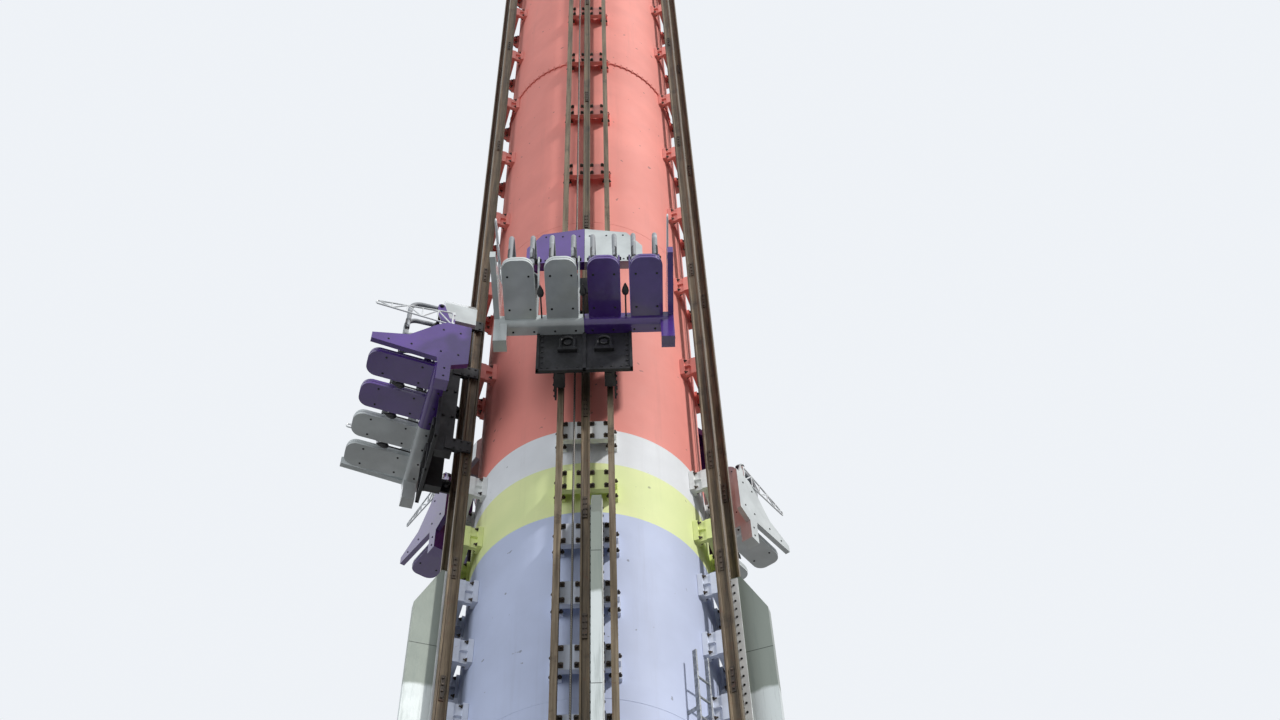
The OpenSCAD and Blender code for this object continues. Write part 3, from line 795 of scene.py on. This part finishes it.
BACK, FRONT = -RAIL_BACK, -RAIL_FRONT
WEB_HALF, LIP = 0.008, 0.013
BEAM_FRONT, BEAM_HALF = BACK - 0.046, 0.03
GROOVE_HALF, GROOVE_DEEP = 0.016, 0.009
BRACKET_RUNS = ((LOW_FIRST, LOW_PITCH), (HIGH_FIRST, HIGH_PITCH))
BRACKET_LEVELS = [first + pitch * order for first, pitch in BRACKET_RUNS for order in range(BRACKETS_A_RUN)]


def both_sides(half_outline):
    """An outline from its right half, given from the front to the back."""
    return half_outline + [(-x, y) for x, y in half_outline[::-1]]


def dress_rails():
    """The rails and the centre beams as rolled sections."""
    length = RAIL_HIGH - RAIL_LOW
    flange_slope = 0.006
    section = both_sides([
        (RAIL_HALF, FRONT), (RAIL_HALF, FRONT + LIP), (WEB_HALF, FRONT + LIP + flange_slope),
        (WEB_HALF, BACK - LIP - flange_slope), (RAIL_HALF, BACK - LIP), (RAIL_HALF, BACK)])
    section = section[-1:] + section[:-1]
    verts, faces = prism(section, length)
    rails = Shape()
    for turn in TRACK_TURNS:
        for side in (-1, 1):
            place = turn @ moved(side * RAIL_OFFSET, 0, RAIL_LOW)
            rails.add((verts, faces[:2] + faces[3:]), place, 0)
            rails.add((verts, [faces[2]]), place, 1)
    piece = rails.piece("rail_sections", "tower", RAIL, RAIL_RUN, bevel=0.0025, slot="weathered_rail")
    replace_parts(piece, "guide_rails")

    lip, web = 0.012, 0.012
    beam = both_sides([
        (GROOVE_HALF, BEAM_FRONT + GROOVE_DEEP), (GROOVE_HALF + 0.002, BEAM_FRONT),
        (BEAM_HALF, BEAM_FRONT), (BEAM_HALF, BEAM_FRONT + lip), (web, BEAM_FRONT + lip + 0.005),
        (web, BACK - lip), (BEAM_HALF, BACK - lip + 0.003), (BEAM_HALF, BACK)])
    beams = Shape()
    for turn in TRACK_TURNS:
        beams.add(prism(beam, length), turn @ moved(0, 0, RAIL_LOW))
    piece = beams.piece("centre_sections", "tower", RAIL, bevel=0.002, slot="weathered_rail")
    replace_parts(piece, "centre_beams")


def dress_splices():
    """Plates and bolts over the rails' and beams' joints, above every second bracket."""
    plates, bolts = Shape(), Shape()
    above_bracket, plate_half, plate_thick, plate_inset = 0.2, 0.10, 0.006, 0.028
    bolt_rows = [-0.075, -0.025, 0.025, 0.075]
    for turn in TRACK_TURNS:
        for level in BRACKET_LEVELS[::2]:
            z = level + above_bracket
            for side in (-1, 1):
                for face in (-1, 1):
                    web = side * RAIL_OFFSET + face * WEB_HALF
                    near, far = sorted((web, web + face * plate_thick))
                    plates.add(block((near, FRONT + plate_inset, z - plate_half),
                                     (far, BACK - plate_inset, z + plate_half)), turn)
                    for row in bolt_rows:
                        seat = aimed((web + face * plate_thick, (FRONT + BACK) / 2, z + row), (face, 0, 0))
                        bolts.add(hex_bolt(0.008, 0.008, washer=False), turn @ seat)
            proud = BEAM_FRONT - 0.0005
            plates.add(block((-GROOVE_HALF, proud, z - plate_half),
                             (GROOVE_HALF, BEAM_FRONT + GROOVE_DEEP, z + plate_half)), turn)
            for row in bolt_rows:
                for x in (-0.0085, 0.0085):
                    seat = aimed((x, proud, z + row), OUTWARD)
                    bolts.add(hex_bolt(0.0055, 0.006, washer=False), turn @ seat)
    plates.piece("splice_plates", "tower", RAIL_DARK, bevel=0.001, segments=1, slot="weathered_rail")
    bolts.piece("splice_bolts", "tower", BRACKET_BOLT, slot="weathered_rail")


def dress_brackets():
    """Clips that hold the rails to the brackets, and the brackets' pads with ribs and bolts."""
    clips, clip_bolts, pad_bolts, ribs = Shape(), Shape(), Shape(), Shape()
    clip_long, clip_half, clip_thick = 0.030, 0.019, 0.009
    clip_rise = BRACKET_HEIGHT / 2 - 0.030
    pad_rise = BRACKET_HEIGHT / 2 - 0.022
    rail_edge = RAIL_OFFSET - RAIL_HALF
    clipped_edges = ((-BEAM_HALF, -1), (BEAM_HALF, 1), (rail_edge, -1), (-rail_edge, 1))
    for turn in TRACK_TURNS:
        for level in BRACKET_LEVELS:
            for z in (level - clip_rise, level + clip_rise):
                for x, face in clipped_edges:
                    near, far = sorted((x, x + face * clip_long))
                    clip = block((near, BACK - clip_thick, z - clip_half), (far, BACK, z + clip_half))
                    clips.add(clip, turn)
                    seat = aimed((x + face * 0.018, BACK - clip_thick, z), OUTWARD)
                    clip_bolts.add(hex_bolt(0.0105, 0.013), turn @ seat)
            for arm in (-RAIL_OFFSET, RAIL_OFFSET):
                ribs.add(block((arm - 0.034, -COLUMN_RADIUS - 0.058, level - 0.006),
                               (arm + 0.034, -COLUMN_RADIUS + 0.006, level + 0.006)), turn)
                for x in (arm - 0.027, arm + 0.027):
                    for z in (level - pad_rise, level + pad_rise):
                        seat = aimed((x, -COLUMN_RADIUS - 0.010, z), OUTWARD)
                        pad_bolts.add(nut_on_stud(0.0105, 0.012, stud=0.024), turn @ seat)
    clips.piece("rail_clips", "tower", RAIL_DARK, bevel=0.002, segments=1, slot="weathered_rail")
    clip_bolts.piece("rail_clip_bolts", "tower", BRACKET_BOLT, slot="weathered_rail")
    pad_bolts.piece("bracket_pad_bolts", "tower", BRACKET_BOLT, slot="weathered_rail")
    ribs.piece("bracket_ribs", "tower", BRACKET, bevel=0.002, segments=1, slot="bracket_paint")


def dress_fins():
    """The riveted strips along the root of each brake fin."""
    strips, rivets = Shape(), Shape()
    fin_left, fin_right, fin_back = 0.044, 0.108, -0.978
    thick, pitch, end_gap = 0.005, 0.072, 0.01
    rivet = lathe([(0.0085, 0), (0.0085, 0.003), (0.005, 0.006)], 8)
    for turn in TRACK_TURNS:
        for x, face in ((fin_left, -1), (fin_right, 1)):
            near, far = sorted((x, x + face * thick))
            strips.add(block((near, fin_back - 0.064, FIN_LOW + end_gap),
                             (far, fin_back - 0.004, FIN_HIGH - end_gap)), turn)
            for order in range(int((FIN_HIGH - FIN_LOW) / pitch)):
                z = FIN_LOW + 0.045 + pitch * order
                rivets.add(rivet, turn @ aimed((x + face * thick, fin_back - 0.034, z), (face, 0, 0)))
    strips.piece("fin_strips", "tower", STRIP, bevel=0.0015, segments=1, slot="fin_grey")
    rivets.piece("fin_rivets", "tower", SCREW, slot="fin_grey")


# Cars

SEAT_PLACES = [(order - 1.5) * SEAT_PITCH for order in range(4)]


def dress_shell(name, body, place, colour, half, finish):
    """Liners, seams and screws of one half of a car's seats. half is -1 on the left, 1 on the right."""
    liners, screws, seams = Shape(), Shape(), Shape()
    tilt = Matrix.Translation(PAN_ROOT) @ tipped(-PAN_TILT, "X")
    pan_liner = pillow(rounded_outline(0.2, 0.03, 0.53, 0.07, 0.03), depth=0.008, crown=0.006)
    back_liner = pillow(rounded_outline(0.206, 0.31, 0.93, 0.1, 0.03), depth=0.010, crown=0.008)
    pan_rim = rounded_outline(PAN_WIDE, 0.0, PAN_LONG, 0.08, 0.005)
    for x in SEAT_PLACES:
        if x * half < 0:
            continue
        seat = moved(x, 0, 0)
        pan = seat @ tilt
        liners.add(pan_liner, pan @ moved(0, 0, PAN_THICK + 0.0005) @ mirrored(-1, (0, 1, 0)))
        seam = [pan @ Vector((across, -along, PAN_THICK / 2)) for across, along in pan_rim]
        seams.add(tube(seam, 0.003, 6, closed=True))
        liners.add(back_liner, seat @ moved(0, -BACK_FRONT, 0) @ tipped(90, "X"))
        for across in (-0.075, 0.075):
            for along in (-0.16, -0.43):
                screws.add(screw_head(0.0085), pan @ aimed((across, along, 0), DOWNWARD))
            for z in (0.36, 0.86):
                screws.add(screw_head(0.007), seat @ aimed((across, -SHELL_BACK, z), INWARD))
        for side in (-1, 1):
            lug = aimed((side * BACK_HALF, PIVOT.y, PIVOT.z), (side, 0, 0))
            screws.add(hex_bolt(0.014, 0.012), seat @ lug)
    wall_screws = ((-1.29, 0.05), (-1.29, 0.14), (-1.20, 0.33), (-1.20, 0.60),
                   (-1.33, 0.33), (-1.33, 0.60), (-1.55, 0.34), (-1.72, 0.34))
    for y, z in wall_screws:
        screws.add(screw_head(0.0085), aimed((half * CAR_HALF, y, z), (half, 0, 0)))
    for x in (0.04, 0.17, 0.30):
        for z in (1.06, 1.40):
            screws.add(screw_head(0.0075), aimed((-half * x, -HOOD_FRONT, z), OUTWARD))
    for x in (0.06, 0.21, 0.36, 0.51):
        screws.add(screw_head(0.0085), aimed((half * x, PAN_ROOT.y, BEAM_LOW), DOWNWARD))
    liners.piece(f"{name}{colour}_seat_liners", body, LINER, place=place, slot="black_steel")
    screws.piece(f"{name}{colour}_screws", body, SCREW, place=place, slot="black_steel")
    seams.piece(f"{name}{colour}_pan_seams", body, finish, place=place, slot=f"{colour}_shell")


def dress_dividers(name, body, place):
    """The dark rods with their drop-shaped ends between the pans, and bolts on the carriage's beams."""
    trim = Shape()
    drop = [(0.004, 0), (0.020, 0.015), (0.026, 0.036), (0.021, 0.062), (0.010, 0.088), (0.004, 0.10)]
    for x in (-SEAT_PITCH, 0, SEAT_PITCH):
        stem = arc_path([(x, -1.345, 0.245), (x, -1.42, 0.255), (x, -1.62, 0.272)], 0.06)
        trim.add(tube(stem, 0.006, 8))
        trim.add(lathe(drop, 16), aimed((x, -1.52, 0.264), (0, -1, 0.09)))
    beam_middle, beam_side = -1.166, 0.21
    for side in (-1, 1):
        for z in (0.15, 0.45, 0.95, 1.2):
            for apart in (-0.035, 0.035):
                spot = aimed((side * beam_side, beam_middle + apart, z), (side, 0, 0))
                trim.add(hex_bolt(0.012, 0.010), spot)
    trim.piece(name + "seat_dividers", body, BLACK, place=place, slot="black_steel")


def dress_carriage(name, body, place):
    """Caps on the rollers, bolts, and the apron plate's frame with its two arches on shelves."""
    caps, bits = Shape(), Shape()
    cap = lathe([(0.011, 0.0056), (0.011, 0.009), (0.007, 0.011)], 12)
    for side in (-1, 1):
        for z in ROLLER_LEVELS:
            hub = moved(side * RAIL_OFFSET, ROLLER_AXLE, z) @ tipped(90, "Y")
            for way in (1, -1):
                caps.add(cap, hub @ mirrored(way) @ moved(0, 0, 0.0225))
            for rise in (-0.042, 0.042):
                for out in (0.045, 0.095, 0.145):
                    spot = aimed((side * 0.22, -(RAIL_BACK + out), z + rise), (side, 0, 0))
                    bits.add(hex_bolt(0.009, 0.008), spot)

    carriage_low, carriage_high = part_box("car_1_carriage")
    half, low, top = carriage_high[0], carriage_low[2] - CAR_LOW, 0.186
    plate, bar, mid_bar, sunk, proud = -SHELL_BACK, 0.02, 0.012, 0.002, 0.016
    bars = ((-half, half, low + bar), (-half, bar - half, top),
            (half - bar, half, top), (-mid_bar, mid_bar, top))
    for left, right, upper in bars:
        bits.add(block((left, plate - proud, low), (right, plate + sunk, upper)))
    for side in (-1, 1):
        spots = [(0.30, low + 0.05 + 0.062 * order) for order in range(7)]
        spots += [(0.05 + 0.07 * order, low + 0.045) for order in range(4)]
        for x, z in spots:
            bits.add(hex_bolt(0.010, 0.008), aimed((side * x, plate, z), OUTWARD))

    radius, spring, arch_front, arch_tube = 0.05, 0.09, plate - 0.012, 0.013
    shelf_half, shelf_deep, shelf_low, shelf_top = 0.07, 0.03, -0.03, 0.004
    turns = [math.pi * step / 10 for step in range(11)]
    knob = lathe([(0.03, 0), (0.03, 0.01), (0.024, 0.016)], 20)
    for x in (-0.12, 0.14):
        arch = [(x + radius * math.cos(turn), arch_front, spring + radius * math.sin(turn)) for turn in turns]
        path = [(x + radius, arch_front, 0.0)] + arch + [(x - radius, arch_front, 0.0)]
        bits.add(tube(path, arch_tube, 12))
        bits.add(knob, aimed((x, plate, 0.08), OUTWARD))
        bits.add(block((x - shelf_half, plate - shelf_deep, shelf_low),
                       (x + shelf_half, plate + sunk, shelf_top)))
    caps.piece(name + "roller_caps", body, ZINC, place=place, slot="black_steel")
    bits.piece(name + "carriage_bolts", body, BLACK, place=place, bevel=0.0015, segments=1,
               slot="black_steel")


def dress_guards(name, body, place):
    """The side guards as bent and welded round tube, which narrow to a rounded outer end."""
    guard = Shape()
    radius, tip, rows, last_row_end = 0.0065, 0.046, 5, 0.965
    lug_half, lug_back, lug_front, lug_inset = 0.016, 0.016, 0.004, 0.012
    low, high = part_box("car_1_guards")
    base, tall = low[2] - CAR_LOW, high[2] - low[2]
    near, far = high[1] - radius, low[1] + radius
    drop = (tall - tip) / 2
    for x in (radius - high[0], high[0] - radius):

        def at(share, up):
            rise = tall - radius - drop * share if up else radius + drop * share
            return Vector((x, near + (far - near) * share, base + rise))

        corners = [at(0.5, False), at(1, False), at(1, True), at(0, True), at(0, False), at(0.499, False)]
        guard.add(tube(arc_path(corners, 0.022), radius, 10))
        for row in range(rows):
            share = (row + 1) / rows if row < rows - 1 else last_row_end
            guard.add(tube((at(row / rows, row % 2), at(share, not row % 2)), radius * 0.85, 8))
            if row < rows - 1:
                guard.add(tube((at(share, False), at(share, True)), radius * 0.7, 8))
        for up in (False, True):
            z = at(0, up).z + (-lug_inset if up else lug_inset)
            guard.add(block((x - radius, near - lug_front, z - lug_half),
                            (x + radius, near + lug_back, z + lug_half)))
    tubes = guard.piece(name + "guard_tubes", body, GUARD, place=place, slot="guard_white")
    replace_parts(tubes, name + "guards")


def dress_harness(name, body, place):
    """Over-the-shoulder harnesses: bent tube in moulded sleeves, with a lap pad and two handles."""
    frames, sleeves = Shape(), Shape()
    top, out, low = PIVOT.z + 0.012, PIVOT.y - 0.233, PIVOT.z - 0.43
    arm_half, pin_radius, arm_radius, sleeve_radius, handle_radius = 0.080, 0.0139, 0.0125, 0.0185, 0.006
    sleeve_start, sleeve_end = 0.0135, 0.0165
    hub = lathe([(0.028, -0.0165), (0.032, -0.012), (0.032, 0.012), (0.028, 0.0165)], 24)
    lap = rounded_outline(0.20, 0, 0.07, 0.02, 0.02)
    for x in SEAT_PLACES:
        for side in (-1, 1):
            arm = x + side * arm_half
            grip = arm + side * 0.012
            path = arc_path([(arm, PIVOT.y, PIVOT.z), (arm, PIVOT.y - 0.03, top), (arm, out, top),
                             (arm, out, low + 0.017)], 0.10, 8)
            frames.add(tube(path, arm_radius, 10))
            frames.add(hub, moved(arm, PIVOT.y, PIVOT.z) @ tipped(90, "Y"))
            covered = path[2:-1] + [Vector((arm, out, low + 0.10))]
            sizes = [sleeve_start] + [sleeve_radius] * (len(covered) - 2) + [sleeve_end]
            sleeves.add(tube(covered, sizes, 14))
            handle = arc_path([(arm, out - 0.010, low + 0.22), (grip, out - 0.016, low + 0.20),
                               (grip, out - 0.016, low + 0.10), (arm, out - 0.010, low + 0.08)], 0.015)
            frames.add(tube(handle, handle_radius, 8))
        ends = ((x - BACK_HALF, PIVOT.y, PIVOT.z), (x + BACK_HALF, PIVOT.y, PIVOT.z))
        frames.add(tube(ends, pin_radius, 20))
        pad = moved(x, out - 0.016, low) @ tipped(90, "X")
        sleeves.add(pillow(lap, depth=0.001, crown=0.003), pad)
        sleeves.add(pillow(lap, depth=0.03, crown=0.004), pad @ mirrored(-1))
    tubes = frames.piece(name + "harness_tubes", body, BLACK, place=place, slot="harness_grey")
    covers = sleeves.piece(name + "harness_sleeves", body, HARNESS, place=place, slot="harness_grey")
    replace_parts(tubes, name + "harnesses")
    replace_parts(covers, name + "harnesses")


def dress_car(number, turn):
    name, body = f"car_{number}_", f"car_{number}"
    place = turn @ moved(0, 0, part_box(name + "white_shell")[0][2])
    paint(name + "carriage", BLACK, edge=0.004, segments=2)
    for colour, half, finish in (("white", -1, SHELL_WHITE), ("purple", 1, SHELL_PURPLE)):
        paint(f"{name}{colour}_shell", finish, edge=0.014, segments=4)
        dress_shell(name, body, place, colour, half, finish)
    dress_dividers(name, body, place)
    dress_carriage(name, body, place)
    dress_guards(name, body, place)
    dress_harness(name, body + "_harness", place)


set_camera()
set_light()
set_floor()
finish_solids()
dress_column()
dress_base()
dress_head()
dress_hoists()
dress_rails()
dress_splices()
dress_brackets()
dress_fins()
for number, turn in enumerate(TRACK_TURNS, 1):
    dress_car(number, turn)
